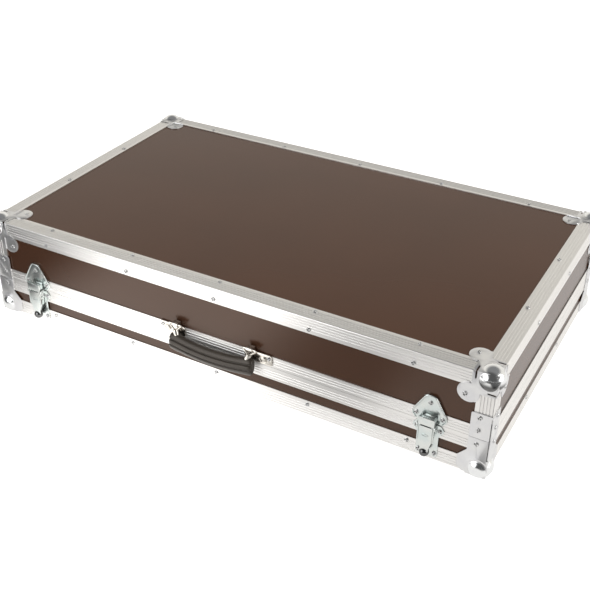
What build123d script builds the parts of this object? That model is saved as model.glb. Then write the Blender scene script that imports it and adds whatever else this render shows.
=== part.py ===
from build123d import *
import os

# Keyboard flight case with a deep hinged lid. Millimetres, X along the front, Y to the back, Z up.
# The origin lies on the floor under the middle of the case. The case stands on its lower ball corners.

# Case, measured over the edging
case_length = 840.0
case_depth = 492.0
case_height = 166.0
base_height = 62.0
seam_gap = 0.4
fit_gap = 0.3
panel_thick = 7.0

# Ribbed edging, an L section along the outer edges
edging_leg = 25.0
edging_sheet = 1.5
edging_rounding = 1.8
edging_cutback = 30.0
rib_groove_count = 4
rib_groove_first = 5.2
rib_groove_pitch = 4.3
rib_groove_radius = 1.1
rib_groove_depth = 0.45

# Closure sections along the seam: the base's has a tongue and the lid's has a groove
base_band = 21.0
lid_band = 18.6
closure_inner_leg = 12.0
closure_web = 2.0
closure_corner_gap = 3.0
band_groove_count = 3
tongue_height = 4.0
tongue_root = 3.0
tongue_tip = 1.6
groove_side_room = 0.7
groove_end_room = 0.8

# Pressed corners with a hollow ball
ball_radius = 18.4
ball_inset = 11.0
ball_wall = 1.6
corner_sheet = 1.2
corner_flange = 33.5
petal_centre = 36.0
petal_radius = 15.5
petal_rivet = 40.5
corner_slot_start = 27.6
corner_slot_width = 2.0
corner_slot_bar = 2.2
corner_slot_reach = 11.0
skirt_width = 28.3
skirt_foot_width = 40.5
skirt_foot_height = 26.0
skirt_taper_top = 39.5
skirt_rivet_in = 16.4
skirt_rivet_drop = 9.5
skirt_slit = 0.6
skirt_slit_end = 4.0
skirt_rounding = 2.5
brace_height = 41.0
upright_overlap = 12.0
brace_rivet_low = 13.4
brace_rivet_high = 34.0

# Blind rivets and screws
rivet_head_radius = 3.3
rivet_head_height = 1.1
rivet_head_rounding = 0.6
rivet_radius = 1.6
hole_room = 0.05
rivet_inset = 18.5
long_rivet_pitch = 153.6
long_rivet_count = 5
side_rivet_pitch = 150.0
side_rivet_count = 2
screw_head_radius = 4.6
screw_head_height = 2.0
screw_radius = 2.0
screw_slot_width = 0.9
screw_slot_depth = 0.9

# Foam
foam_lining = 12.0
foam_lining_drop = 3.0
foam_bed = 20.0
foam_pad = 20.0

# Back hinges
hinge_offset = 260.0
hinge_length = 60.0
hinge_sheet = 1.8
hinge_knuckle_radius = 3.6
hinge_pin_radius = 2.0
hinge_stand_off = 0.3
hinge_knuckles = 5
hinge_lid_leaf = 17.5
hinge_base_leaf = 19.5
hinge_rivet_pitch = 22.0
hinge_rivet_height = 12.0

# Toggle latches
latch_end_distance = 83.5
latch_sheet = 1.5
latch_plate_top_half = 17.0
latch_plate_wide_half = 22.0
latch_plate_low_half = 15.5
latch_plate_top_gap = 0.8
latch_plate_shoulder = 7.0
latch_plate_waist = 11.0
latch_plate_neck = 20.0
latch_plate_bottom = 7.0
latch_pivot_height = 60.0
latch_pivot_out = 7.0
latch_pin_radius = 1.6
latch_pin_head_radius = 2.6
latch_pin_head = 0.9
latch_link = 11.0
latch_ear_radius = 5.0
latch_ear_drop = 8.0
cheek_radius = 4.5
cheek_thick = 1.4
flange_gap = 0.5
ear_gap = 0.5
ear_thick = 1.4
cheek_back_out = 3.0
lever_wide_bottom = 37.0
lever_top = 61.5
lever_front_out = 12.0
lever_tail_half = 6.0
lever_taper_bottom = 25.0
lever_knob_radius = 7.0
lever_knob_height = 17.6
lever_knob_out = 9.2
rail_gap = 0.8
loop_eye_radius = 3.0
claw_half = 11.5
claw_back_out = 3.5
claw_bridge_out = 5.8
claw_bottom = 63.5
claw_bridge_bottom = 66.0
claw_top = 75.5
catch_half = 25.0
catch_low_half = 19.5
catch_bottom_gap = 1.2
catch_waist = 71.0
catch_shoulder = 76.0
catch_top = 107.0
catch_tip_half = 7.0
catch_tip_rounding = 7.0
catch_boss_radius = 4.0
hook_half = 8.5
hook_bottom = 70.5
hook_ledge = 2.0
hook_lip_height = 2.0
hook_lip_thick = 1.5
hook_to_claw = 1.0
catch_top_rivet = 95.0
catch_side_rivet_in = 18.5
catch_side_rivet_height = 73.0
plate_side_rivet_in = 17.0
plate_side_rivet_height = 52.5
plate_low_rivet_in = 11.6
plate_low_rivet_height = 12.6

# Handle, hung from two brackets on the lid
bracket_inner = 52.0
bracket_outer = 97.0
bracket_bottom = 64.5
bracket_top = 82.0
bracket_sheet = 1.6
bracket_rounding = 4.0
bracket_screw_in = 82.5
bracket_screw_height = 72.5
bracket_rivet_in = 91.5
bracket_rivet_height = 76.5
handle_pivot_height = 88.0
handle_pivot_out = 8.0
handle_tilt = 8.0
barrel_radius = 3.1
barrel_inner = 59.0
barrel_outer = 69.0
barrel_web_low = 84.5
barrel_web_high = 90.2
barrel_web_out = 6.0
ring_wire_radius = 1.5
ring_wire_room = 0.07
ring_inner = 53.0
ring_outer = 75.0
ring_apex_in = 63.5
ring_apex_drop = 11.0
ferrule_radius = 4.2
ferrule_top_drop = 10.0
ferrule_foot_in = 58.5
ferrule_foot_drop = 23.0
grip_thick = 16.0
grip_half = 71.5
grip_top_drop = 20.0
grip_shoulder_in = 46.0
grip_shoulder_drop = 12.5
grip_notch_in = 53.0
grip_notch_out = 65.0
grip_notch_drop = 18.5
grip_bottom_drop = 48.0
grip_end_drop = 42.5
grip_end_in = 66.0
grip_rounding = 3.0
grip_edge_rounding = 2.5

# Heights and halves that follow from the sizes above
half_length = case_length / 2
half_depth = case_depth / 2
foot = ball_radius - ball_inset
z_top = foot + case_height
z_seam = foot + base_height
skin = edging_sheet + panel_thick
floor_top = foot + skin
roof_under = z_top - skin
closure_width = skin + edging_sheet
lid_web_top = tongue_height + groove_end_room + closure_web
lid_band_top = seam_gap + lid_band
lid_wall_bottom = z_seam + lid_web_top
base_wall_top = z_seam - closure_web
latch_offset = half_length - latch_end_distance
hinge_axis_out = hinge_knuckle_radius + hinge_stand_off
hinge_axis_z = z_seam + seam_gap / 2
far = 4 * case_length

front, right, back, left = "front", "right", "back", "left"
sides = (front, right, back, left)
half_run = {front: half_length, right: half_depth, back: half_length, left: half_depth}
face_out = {front: half_depth, right: half_length, back: half_depth, left: half_length}
face_turn = {front: 0, right: 90, back: 180, left: 270}


def face_frame(side):
    """Place where a piece drawn for a front face through the origin goes on the named side."""
    return Rot(0, 0, face_turn[side]) * Pos(0, -face_out[side], 0)


def box_between(x0, x1, y0, y1, z0, z1):
    return Pos((x0 + x1) / 2, (y0 + y1) / 2, (z0 + z1) / 2) * Box(x1 - x0, y1 - y0, z1 - z0)


def standing(outline, inner, outer):
    """Solid of an outline drawn as (along, height), from inner to outer in front of the face."""
    plane = Plane((0, -inner, 0), x_dir=(1, 0, 0), z_dir=(0, -1, 0))
    return extrude(plane * outline, outer - inner, dir=(0, -1, 0))


def inward_run(section, x0, x1):
    """Solid of a section drawn as (inward from the face, height), from x0 to x1 along it."""
    plane = Plane((x0, 0, 0), x_dir=(0, 1, 0), z_dir=(1, 0, 0))
    return extrude(plane * section, x1 - x0, dir=(1, 0, 0))


def outward_run(section, x0, x1):
    """Solid of a section drawn as (outward from the face, height), from x0 to x1 along it."""
    plane = Plane((x1, 0, 0), x_dir=(0, -1, 0), z_dir=(-1, 0, 0))
    return extrude(plane * section, x1 - x0, dir=(-1, 0, 0))


def rod(radius, x0, x1, out, height):
    """Round bar along the face."""
    return Pos((x0 + x1) / 2, -out, height) * Rot(0, 90, 0) * Cylinder(radius, x1 - x0)


def rectangle(x0, x1, y0, y1):
    return Pos((x0 + x1) / 2, (y0 + y1) / 2) * Rectangle(x1 - x0, y1 - y0)


# Rivets and screws

def face_spot(side, along, height, out, grip):
    """Fastener place on an upright face: its local +Z points away from the case."""
    return (face_frame(side) * Pos(along, -out, height) * Rot(90, 0, 0), grip)


def top_spot(x, y, out, grip):
    return (Pos(x, y, z_top + out), grip)


def bottom_spot(x, y, out, grip):
    return (Pos(x, y, foot - out) * Rot(180, 0, 0), grip)


def rivet_places(side):
    """Places of the edging's rivets along one side of the case."""
    along_front = side in (front, back)
    count = long_rivet_count if along_front else side_rivet_count
    pitch = long_rivet_pitch if along_front else side_rivet_pitch
    return [(n - (count - 1) / 2) * pitch for n in range(count)]


def edging_spots(height, flat_spot):
    """Rivets in both legs of the edging round the top or the bottom."""
    spots = []
    for side in sides:
        for along in rivet_places(side):
            spots.append(face_spot(side, along, height, 0, skin))
            flat = face_frame(side) * Pos(along, rivet_inset, 0)
            spots.append(flat_spot(flat.position.X, flat.position.Y, 0, skin))
    return spots


def petal_spots(flat_spot):
    """Rivets of the corners' petals on the top or the bottom."""
    x = half_length - petal_rivet
    y = half_depth - petal_rivet
    out = corner_sheet - edging_sheet
    return [flat_spot(i * x, j * y, out, corner_sheet + panel_thick) for i in (-1, 1) for j in (-1, 1)]


def end_spots(inset, height, out, grip):
    """A rivet near both ends of every upright face."""
    return [face_spot(side, end * (half_run[side] - inset), height, out, grip)
            for side in sides for end in (-1, 1)]


def mirrored_spots(side, alongs, height, out, grip):
    return [face_spot(side, end * along, height, out, grip) for along in alongs for end in (-1, 1)]


plate_grip = latch_sheet + skin
corner_grip = corner_sheet + skin
hinge_grip = hinge_sheet + skin
hinge_alongs = [hinge_offset + n * hinge_rivet_pitch for n in (-1, 0, 1)]

base_spots = edging_spots(foot + rivet_inset, bottom_spot)
base_spots += petal_spots(bottom_spot)
base_spots += end_spots(skirt_rivet_in, z_seam - skirt_rivet_drop, corner_sheet, corner_grip)
base_spots += mirrored_spots(back, hinge_alongs, hinge_axis_z - hinge_rivet_height, hinge_sheet, hinge_grip)
plate_alongs = [latch_offset - plate_side_rivet_in, latch_offset + plate_side_rivet_in]
base_spots += mirrored_spots(front, plate_alongs, foot + plate_side_rivet_height, latch_sheet, plate_grip)
low_alongs = [latch_offset - plate_low_rivet_in, latch_offset + plate_low_rivet_in]
base_spots += mirrored_spots(front, low_alongs, foot + plate_low_rivet_height, latch_sheet, plate_grip)

lid_spots = edging_spots(z_top - rivet_inset, top_spot)
lid_spots += petal_spots(top_spot)
petal_out = corner_sheet - edging_sheet
lid_spots += end_spots(petal_rivet, z_top - petal_rivet, petal_out, corner_sheet + panel_thick)
for height in (brace_rivet_low, brace_rivet_high):
    lid_spots += end_spots(skirt_rivet_in, z_seam + height, corner_sheet, corner_grip)
lid_spots += mirrored_spots(back, hinge_alongs, hinge_axis_z + hinge_rivet_height, hinge_sheet, hinge_grip)
lid_spots += mirrored_spots(front, [latch_offset], foot + catch_top_rivet, latch_sheet, plate_grip)
catch_alongs = [latch_offset - catch_side_rivet_in, latch_offset + catch_side_rivet_in]
lid_spots += mirrored_spots(front, catch_alongs, foot + catch_side_rivet_height, latch_sheet, plate_grip)
bracket_grip = bracket_sheet + skin
lid_spots += mirrored_spots(front, [bracket_rivet_in], foot + bracket_rivet_height, bracket_sheet, bracket_grip)

screw_spots = mirrored_spots(front, [bracket_screw_in], foot + bracket_screw_height, bracket_sheet, bracket_grip)


def rivet(grip):
    """Blind rivet: low round head above Z = 0 and a shank as long as what it grips."""
    head = Pos(0, 0, rivet_head_height / 2) * Cylinder(rivet_head_radius, rivet_head_height)
    head = fillet(head.edges().group_by(Axis.Z)[-1], rivet_head_rounding)
    return head + Pos(0, 0, -grip / 2) * Cylinder(rivet_radius, grip)


def screw(grip):
    """Pan-head screw with a cross slot."""
    head = Pos(0, 0, screw_head_height / 2) * Cylinder(screw_head_radius, screw_head_height)
    head = fillet(head.edges().group_by(Axis.Z)[-1], rivet_head_rounding)
    for turn in (0, 90):
        arm = Box(screw_head_radius, screw_slot_width, 2 * screw_slot_depth)
        head -= Pos(0, 0, screw_head_height) * Rot(0, 0, turn) * arm
    return head + Pos(0, 0, -grip / 2) * Cylinder(screw_radius, grip)


def drilled(part, spots, radius):
    """The part with the fasteners' holes that meet it."""
    box = part.bounding_box()
    holes = []
    for place, grip in spots:
        height = grip + rivet_head_height
        hole = place * Pos(0, 0, height / 2 - grip) * Cylinder(radius + hole_room, height)
        hole_box = hole.bounding_box()
        apart = (
            hole_box.max.X < box.min.X or hole_box.min.X > box.max.X
            or hole_box.max.Y < box.min.Y or hole_box.min.Y > box.max.Y
            or hole_box.max.Z < box.min.Z or hole_box.min.Z > box.max.Z
        )
        if not apart:
            holes.append(hole)
    return part - holes if holes else part


def base_piece(part):
    return drilled(part, base_spots, rivet_radius)


def lid_piece(part):
    part = drilled(part, lid_spots, rivet_radius)
    return drilled(part, screw_spots, screw_radius)


# Plywood shells

def wall_panel(side, low, high):
    """Upright panel: the front and back ones run the full length and the side ones fit between them."""
    reach = half_run[side] - edging_sheet
    if side in (left, right):
        reach -= panel_thick
    return face_frame(side) * box_between(-reach, reach, edging_sheet, skin, low, high)


def flat_panel(low):
    x = half_length - edging_sheet
    y = half_depth - edging_sheet
    return box_between(-x, x, -y, y, low, low + panel_thick)


# Edging

def edging_section():
    """L section drawn with its outer corner at the origin and its legs along both axes."""
    leg, sheet = edging_leg, edging_sheet
    section = Polygon((0, 0), (leg, 0), (leg, sheet), (sheet, sheet), (sheet, leg), (0, leg), align=None)
    corner = section.vertices().sort_by_distance((0, 0))[0]
    section = fillet(corner, edging_rounding)
    sink = rib_groove_depth - rib_groove_radius
    for n in range(rib_groove_count):
        at = rib_groove_first + n * rib_groove_pitch
        section -= Pos(at, sink) * Circle(rib_groove_radius)
        section -= Pos(sink, at) * Circle(rib_groove_radius)
    return section


def edging_run(side, z_edge, up):
    """Edging along one side, with its edge at z_edge and its upright leg going up or down."""
    reach = half_run[side] - edging_cutback
    if up:
        plane = Plane((-reach, 0, z_edge), x_dir=(0, 1, 0), z_dir=(1, 0, 0))
    else:
        plane = Plane((reach, 0, z_edge), x_dir=(0, 1, 0), z_dir=(-1, 0, 0))
    return face_frame(side) * extrude(plane * edging_section(), 2 * reach)


def upright_edging(x_sign, y_sign):
    """Edging on one of the lid's upright edges, from under the brace to the ball corner."""
    low = z_seam + brace_height - upright_overlap
    high = z_top - edging_cutback
    direction = x_sign * y_sign
    start = low if direction > 0 else high
    place = Plane(
        (x_sign * half_length, y_sign * half_depth, start),
        x_dir=(-x_sign, 0, 0),
        z_dir=(0, 0, direction),
    )
    return extrude(place * edging_section(), high - low)


# Closure sections

def mitre(part, side):
    """Cut the ends of a run at 45 degrees, so that four of them meet in the corners."""
    reach = half_run[side]
    plan = Polygon(
        (-reach, 0),
        (reach, 0),
        (reach - closure_width, closure_width),
        (-reach + closure_width, closure_width),
        align=None,
    )
    for end in (-1, 1):
        plan -= Pos(end * reach, 0) * Rectangle(2 * closure_corner_gap, 2 * closure_corner_gap)
    return part & extrude(Pos(0, 0, -far / 2) * plan, far)


def with_ribs(section, first, direction):
    """Cut the rib grooves into a closure section's outer face."""
    for n in range(band_groove_count):
        at = first + direction * (rib_groove_first + n * rib_groove_pitch)
        section -= Pos(rib_groove_depth - rib_groove_radius, at) * Circle(rib_groove_radius)
    return section


def base_closure(side):
    """Section over the base wall's top edge, with the tongue."""
    inner = closure_width
    middle = inner / 2
    section = Polygon(
        (0, -base_band),
        (edging_sheet, -base_band),
        (edging_sheet, -closure_web),
        (skin, -closure_web),
        (skin, -closure_inner_leg),
        (inner, -closure_inner_leg),
        (inner, 0),
        (middle + tongue_root / 2, 0),
        (middle + tongue_tip / 2, tongue_height),
        (middle - tongue_tip / 2, tongue_height),
        (middle - tongue_root / 2, 0),
        (0, 0),
        align=None,
    )
    section = Pos(0, z_seam) * with_ribs(section, -base_band, 1)
    run = inward_run(section, -half_run[side], half_run[side])
    return face_frame(side) * mitre(run, side)


def lid_closure(side):
    """Section over the lid wall's lower edge, with the groove that takes the tongue."""
    inner = closure_width
    middle = inner / 2
    groove_half = tongue_root / 2 + groove_side_room
    groove_top = tongue_height + groove_end_room
    section = Polygon(
        (0, seam_gap),
        (middle - groove_half, seam_gap),
        (middle - groove_half, groove_top),
        (middle + groove_half, groove_top),
        (middle + groove_half, seam_gap),
        (inner, seam_gap),
        (inner, closure_inner_leg),
        (skin, closure_inner_leg),
        (skin, lid_web_top),
        (edging_sheet, lid_web_top),
        (edging_sheet, lid_band_top),
        (0, lid_band_top),
        align=None,
    )
    section = Pos(0, z_seam) * with_ribs(section, lid_band_top, -1)
    run = inward_run(section, -half_run[side], half_run[side])
    return face_frame(side) * mitre(run, side)


# Ball corners, drawn with the case's corner at the origin and the case towards +X, +Y, +Z

def petal_outline():
    """One face of a corner: a square flange over the edging and a round petal on the panel."""
    flange = rectangle(-corner_sheet, corner_flange, -corner_sheet, corner_flange)
    return flange + Pos(petal_centre, petal_centre) * Circle(petal_radius)


def cranked_sheet(outline):
    """Sheet that lies over the edging's legs and steps down on to the panel past them."""
    step = edging_leg + fit_gap
    past = rectangle(step, far, step, far)
    sunk = rectangle(step + corner_sheet, far, step + corner_sheet, far)
    over = extrude(outline - sunk, corner_sheet)
    riser = extrude(Pos(0, 0, -edging_sheet) * ((outline & past) - sunk), corner_sheet + edging_sheet)
    petal = extrude(Pos(0, 0, -edging_sheet) * (outline & past), corner_sheet)
    return over + riser + petal


def skirt_outline():
    """Side face of a base corner: it spreads at the foot and goes up to the seam."""
    outline = Polygon(
        (-corner_sheet, -corner_sheet),
        (corner_flange, -corner_sheet),
        (corner_flange, edging_sheet),
        (skirt_foot_width, corner_flange - edging_leg),
        (skirt_foot_width, skirt_foot_height),
        (skirt_width, skirt_taper_top),
        (skirt_width, base_height),
        (-corner_sheet, base_height),
        align=None,
    )
    rounded = outline.vertices().filter_by_position(Axis.X, skirt_width, skirt_foot_width)
    return fillet(rounded.filter_by_position(Axis.Y, edging_sheet, skirt_taper_top), skirt_rounding)


front_plane = Plane((0, 0, 0), x_dir=(1, 0, 0), z_dir=(0, -1, 0))
under_plane = Plane((0, 0, 0), x_dir=(0, 1, 0), z_dir=(0, 0, -1))
side_mirror = Plane((0, 0, 0), z_dir=(1, -1, 0))


def edge_slot(start, end, axis_turn):
    """Slot along one edge of a corner, cut through the bend."""
    slot = box_between(start, end, -far, corner_slot_width / 2, -far, corner_slot_width / 2)
    return axis_turn * slot


def ball_corner(side_face, slots):
    """Corner made of two side faces, a flat face with a petal and the hollow ball."""
    faces = side_face + mirror(side_face, side_mirror)
    faces += under_plane.location * cranked_sheet(petal_outline())
    centre = Pos(ball_inset, ball_inset, ball_inset)
    hollow = centre * Sphere(ball_radius - ball_wall)
    ball = centre * Sphere(ball_radius) - hollow - box_between(0, far, 0, far, 0, far)
    return (faces - hollow - slots) + ball


def slot_along_x(start, end):
    room = corner_slot_width / 2
    return box_between(start, end, -corner_sheet - room, room, -corner_sheet - room, room)


def tee_slot():
    """Slot along an edge with a bar across it on both faces."""
    room = corner_slot_width / 2
    low, bar_end = -corner_sheet - room, corner_slot_start + corner_slot_bar
    slot = slot_along_x(corner_slot_start, corner_flange + corner_sheet)
    slot += box_between(corner_slot_start, bar_end, low, corner_slot_reach, low, room)
    return slot + box_between(corner_slot_start, bar_end, low, room, low, corner_slot_reach)


def lid_ball_corner():
    """Upper corner, drawn as a lower one: the same petal on all three faces."""
    face = front_plane.location * cranked_sheet(petal_outline())
    slot = tee_slot()
    slots = [slot, Rot(0, 0, 90) * Rot(90, 0, 0) * slot, Rot(0, -90, 0) * Rot(-90, 0, 0) * slot]
    return ball_corner(face, slots)


def base_ball_corner():
    """Lower corner: its side faces go up to the seam, with a slit between them."""
    face = front_plane.location * extrude(skirt_outline(), corner_sheet)
    slot = slot_along_x(corner_slot_start, corner_flange + corner_sheet)
    slit_low = ball_inset + ball_radius
    slit = box_between(-corner_sheet, skirt_slit, -corner_sheet, skirt_slit, slit_low, base_height)
    return ball_corner(face, [slot, Rot(0, 0, 90) * Rot(90, 0, 0) * slot, slit])


def corner_place(x_sign, y_sign):
    """Turn and place for a corner piece drawn for the left front one."""
    turn = {(-1, -1): 0, (1, -1): 90, (1, 1): 180, (-1, 1): 270}[(x_sign, y_sign)]
    return Pos(x_sign * half_length, y_sign * half_depth, 0) * Rot(0, 0, turn)


def corner_brace():
    """Angle plate over one of the lid's upright edges, just above the seam."""
    low = z_seam + seam_gap
    outline = rectangle(-corner_sheet, skirt_width, low, z_seam + brace_height)
    outer_top = outline.vertices().group_by(Axis.X)[-1].sort_by(Axis.Y)[-1]
    outline = fillet(outer_top, skirt_rounding)
    face = front_plane.location * extrude(outline, corner_sheet)
    slit_high = z_seam + brace_height - skirt_slit_end
    slit = box_between(-corner_sheet, skirt_slit, -corner_sheet, skirt_slit, 0, slit_high)
    return face + mirror(face, side_mirror) - slit


# Foam, clear of its neighbours by the fitting gap

def foam_strip(side, low, high):
    """Foam strip inside one wall: the front and back ones run the full length."""
    outer = closure_width + fit_gap
    inner = outer + foam_lining
    reach = half_run[side] - outer
    if side in (left, right):
        reach -= foam_lining + fit_gap
    return face_frame(side) * box_between(-reach, reach, outer, inner, low, high)


def foam_slab(low, high):
    """Foam between the four strips."""
    inset = closure_width + foam_lining + 2 * fit_gap
    x = half_length - inset
    y = half_depth - inset
    return box_between(-x, x, -y, y, low, high)


# Hinges, drawn at the face's middle and placed on the back

def hinge_leaf(first_knuckle, sign, leaf):
    """Leaf with every second knuckle. sign is 1 for the lid's leaf and -1 for the base's."""
    half = hinge_length / 2
    ends = sorted((hinge_axis_z, hinge_axis_z + sign * leaf))
    plate = box_between(-half, half, -hinge_sheet, 0, ends[0], ends[1])
    clear = hinge_knuckle_radius + fit_gap
    pitch = hinge_length / hinge_knuckles
    barrels = []
    for n in range(hinge_knuckles):
        x0 = -half + n * pitch
        if n % 2 == first_knuckle:
            barrels.append(rod(hinge_knuckle_radius, x0, x0 + pitch - fit_gap, hinge_axis_out, hinge_axis_z))
            room = (x0 + pitch - fit_gap, x0 + pitch)
        else:
            room = (x0 - fit_gap, x0 + pitch)
        plate -= box_between(*room, -far, far, hinge_axis_z - clear, hinge_axis_z + clear)
    bore = rod(hinge_pin_radius + hole_room, -half - 1, half + 1, hinge_axis_out, hinge_axis_z)
    return (plate + barrels) - bore


def hinge_place(x_sign):
    return face_frame(back) * Pos(x_sign * hinge_offset, 0, 0)


def hinge_pin():
    """Pin with a low head at each end."""
    half = hinge_length / 2
    pin = rod(hinge_pin_radius, -half, half, hinge_axis_out, hinge_axis_z)
    head_radius = hinge_knuckle_radius - fit_gap
    for end in (-1, 1):
        ends = sorted((end * (half + fit_gap), end * (half + hinge_stand_off + latch_pin_head)))
        pin += rod(head_radius, ends[0], ends[1], hinge_axis_out, hinge_axis_z)
        ends = sorted((end * half, end * (half + fit_gap)))
        pin += rod(hinge_pin_radius, ends[0], ends[1], hinge_axis_out, hinge_axis_z)
    return pin


# Latches, drawn at the face's middle and placed on the front

pivot_z = foot + latch_pivot_height
link_z = pivot_z - latch_link
lever_outer = claw_half - latch_sheet - flange_gap
lever_inner = lever_outer - cheek_thick
ear_inner = claw_half + ear_gap
ear_outer = ear_inner + ear_thick
rail_inner_out = latch_pivot_out + latch_pin_radius + rail_gap
claw_inner_out = lever_front_out - latch_sheet
hook_out = claw_inner_out - hook_to_claw
pin_hole = latch_pin_radius + hole_room


def latch_place(x_sign):
    return face_frame(front) * Pos(x_sign * latch_offset, 0, 0)


def latch_base_plate():
    """Plate on the base with two ears that carry the lever."""
    top = z_seam - latch_plate_top_gap
    right_side = [
        (latch_plate_low_half, foot + latch_plate_bottom),
        (latch_plate_low_half, z_seam - latch_plate_neck),
        (latch_plate_wide_half, z_seam - latch_plate_waist),
        (latch_plate_wide_half, z_seam - latch_plate_shoulder),
        (latch_plate_top_half, top),
    ]
    left_side = [(-along, height) for along, height in reversed(right_side)]
    outline = Polygon(*right_side, *left_side, align=None)
    plate = standing(fillet(outline.vertices(), skirt_rounding), 0, latch_sheet)
    ear = rectangle(latch_sheet, latch_pivot_out, pivot_z - latch_ear_drop, top)
    ear += Pos(latch_pivot_out, pivot_z) * Circle(latch_ear_radius)
    ear -= Pos(latch_pivot_out, pivot_z) * Circle(pin_hole)
    for x0 in (-ear_outer, ear_inner):
        plate += outward_run(ear, x0, x0 + ear_thick)
    return plate


def latch_pivot_pin(end):
    """Short headed pin through one ear and one cheek of the lever."""
    shank = sorted((end * lever_inner, end * ear_outer))
    head = sorted((end * (ear_outer + hole_room), end * (ear_outer + hole_room + latch_pin_head)))
    neck = sorted((end * ear_outer, end * (ear_outer + hole_room)))
    pin = rod(latch_pin_radius, shank[0], shank[1], latch_pivot_out, pivot_z)
    pin += rod(latch_pin_radius, neck[0], neck[1], latch_pivot_out, pivot_z)
    return pin + rod(latch_pin_head_radius, head[0], head[1], latch_pivot_out, pivot_z)


def latch_lever():
    """Channel lever: two cheeks, a front plate over them and a tapering tail with a round knob."""
    bottom = foot + lever_wide_bottom
    top = foot + lever_top
    cheek = rectangle(cheek_back_out, lever_front_out, bottom, top)
    cheek += Pos(latch_pivot_out, pivot_z) * Circle(cheek_radius)
    for height in (pivot_z, link_z):
        cheek -= Pos(latch_pivot_out, height) * Circle(pin_hole)
    knob_z = foot + lever_knob_height
    right_side = [
        (lever_tail_half, knob_z),
        (lever_tail_half, foot + lever_taper_bottom),
        (lever_outer, bottom),
        (lever_outer, top),
    ]
    left_side = [(-along, height) for along, height in reversed(right_side)]
    front_plate = standing(Polygon(*right_side, *left_side, align=None), claw_inner_out, lever_front_out)
    knob = Pos(0, -lever_knob_out, knob_z) * Sphere(lever_knob_radius)
    cheeks = outward_run(cheek, lever_inner, lever_outer) + outward_run(cheek, -lever_outer, -lever_inner)
    return cheeks + front_plate + knob


def latch_loop():
    """Claw: a channel in front of the hook, whose two side rails turn on the lever's lower pin."""
    bridge_low = foot + claw_bridge_bottom
    bridge_high = bridge_low + latch_sheet
    claw_low = foot + claw_bottom
    claw_high = foot + claw_top
    rail = rectangle(rail_inner_out, lever_front_out, foot + lever_wide_bottom, bridge_high)
    rail += rectangle(claw_back_out, lever_front_out, bridge_low, claw_high)
    rail += rectangle(latch_pivot_out, lever_front_out, link_z - loop_eye_radius, link_z + loop_eye_radius)
    rail += Pos(latch_pivot_out, link_z) * Circle(loop_eye_radius)
    rail -= Pos(latch_pivot_out, link_z) * Circle(pin_hole)
    claw = box_between(-claw_half, claw_half, -lever_front_out, -claw_inner_out, claw_low, claw_high)
    claw += box_between(-claw_half, claw_half, -lever_front_out, -claw_bridge_out, bridge_low, bridge_high)
    for x0 in (-claw_half, claw_half - latch_sheet):
        claw += outward_run(rail, x0, x0 + latch_sheet)
    return claw


def latch_loop_pin():
    """Pin that joins the claw to the lever."""
    half = claw_half + hole_room
    return rod(latch_pin_radius, -half, half, latch_pivot_out, link_z)


def latch_catch():
    """Rounded triangular plate on the lid with a skirt down to the panel and a hook."""
    low = z_seam + catch_bottom_gap
    shoulder = foot + catch_shoulder
    top = foot + catch_top
    outline = Polygon(
        (-catch_low_half, low),
        (catch_low_half, low),
        (catch_half, foot + catch_waist),
        (catch_half, shoulder),
        (catch_tip_half, top),
        (-catch_tip_half, top),
        (-catch_half, shoulder),
        (-catch_half, foot + catch_waist),
        align=None,
    )
    tip = outline.vertices().group_by(Axis.Y)[-1]
    outline = fillet(tip, catch_tip_rounding)
    shoulders = outline.vertices().filter_by_position(Axis.Y, shoulder - 1, shoulder + 1)
    outline = fillet(shoulders, catch_tip_rounding)
    plate = standing(outline, 0, latch_sheet)
    past_closure = rectangle(-far, far, z_seam + lid_band_top + fit_gap, far)
    rim = (outline - offset(outline, -latch_sheet)) & past_closure
    rim += Pos(0, foot + catch_top_rivet) * Circle(catch_boss_radius)
    plate += standing(rim, -edging_sheet, 0)
    ledge_low = foot + hook_bottom
    ledge_high = ledge_low + hook_ledge
    hook = box_between(-hook_half, hook_half, -hook_out, -latch_sheet, ledge_low, ledge_high)
    lip_back = -hook_out + hook_lip_thick
    hook += box_between(-hook_half, hook_half, -hook_out, lip_back, ledge_high, ledge_high + hook_lip_height)
    return plate + hook


# Handle, drawn hanging straight down from the pivot line and then turned by its rest tilt

handle_pivot_z = foot + handle_pivot_height
handle_hang = Pos(0, -handle_pivot_out, handle_pivot_z) * Rot(-handle_tilt, 0, 0)


def sloping_rod(radius, start, end):
    """Round bar between two points given as (along, drop below the pivot line)."""
    a = Vector(start[0], 0, -start[1])
    b = Vector(end[0], 0, -end[1])
    return Plane(a, z_dir=b - a).location * Pos(0, 0, (b - a).length / 2) * Cylinder(radius, (b - a).length)


def handle_bracket():
    """Right-hand bracket: a plate on the closure section and a barrel for the ring."""
    outline = rectangle(bracket_inner, bracket_outer, foot + bracket_bottom, foot + bracket_top)
    plate = standing(fillet(outline.vertices(), bracket_rounding), 0, bracket_sheet)
    web = Polygon(
        (0, foot + bracket_top - bracket_rounding),
        (bracket_sheet, foot + bracket_top - bracket_rounding),
        (bracket_sheet, foot + barrel_web_low),
        (barrel_web_out, foot + barrel_web_low + bracket_sheet),
        (barrel_web_out, foot + barrel_web_high),
        (0, foot + barrel_web_high),
        align=None,
    )
    plate += outward_run(web, barrel_inner, barrel_outer)
    plate += rod(barrel_radius, barrel_inner, barrel_outer, handle_pivot_out, handle_pivot_z)
    bore = ring_wire_radius + ring_wire_room
    return plate - rod(bore, barrel_inner - 1, barrel_outer + 1, handle_pivot_out, handle_pivot_z)


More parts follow.
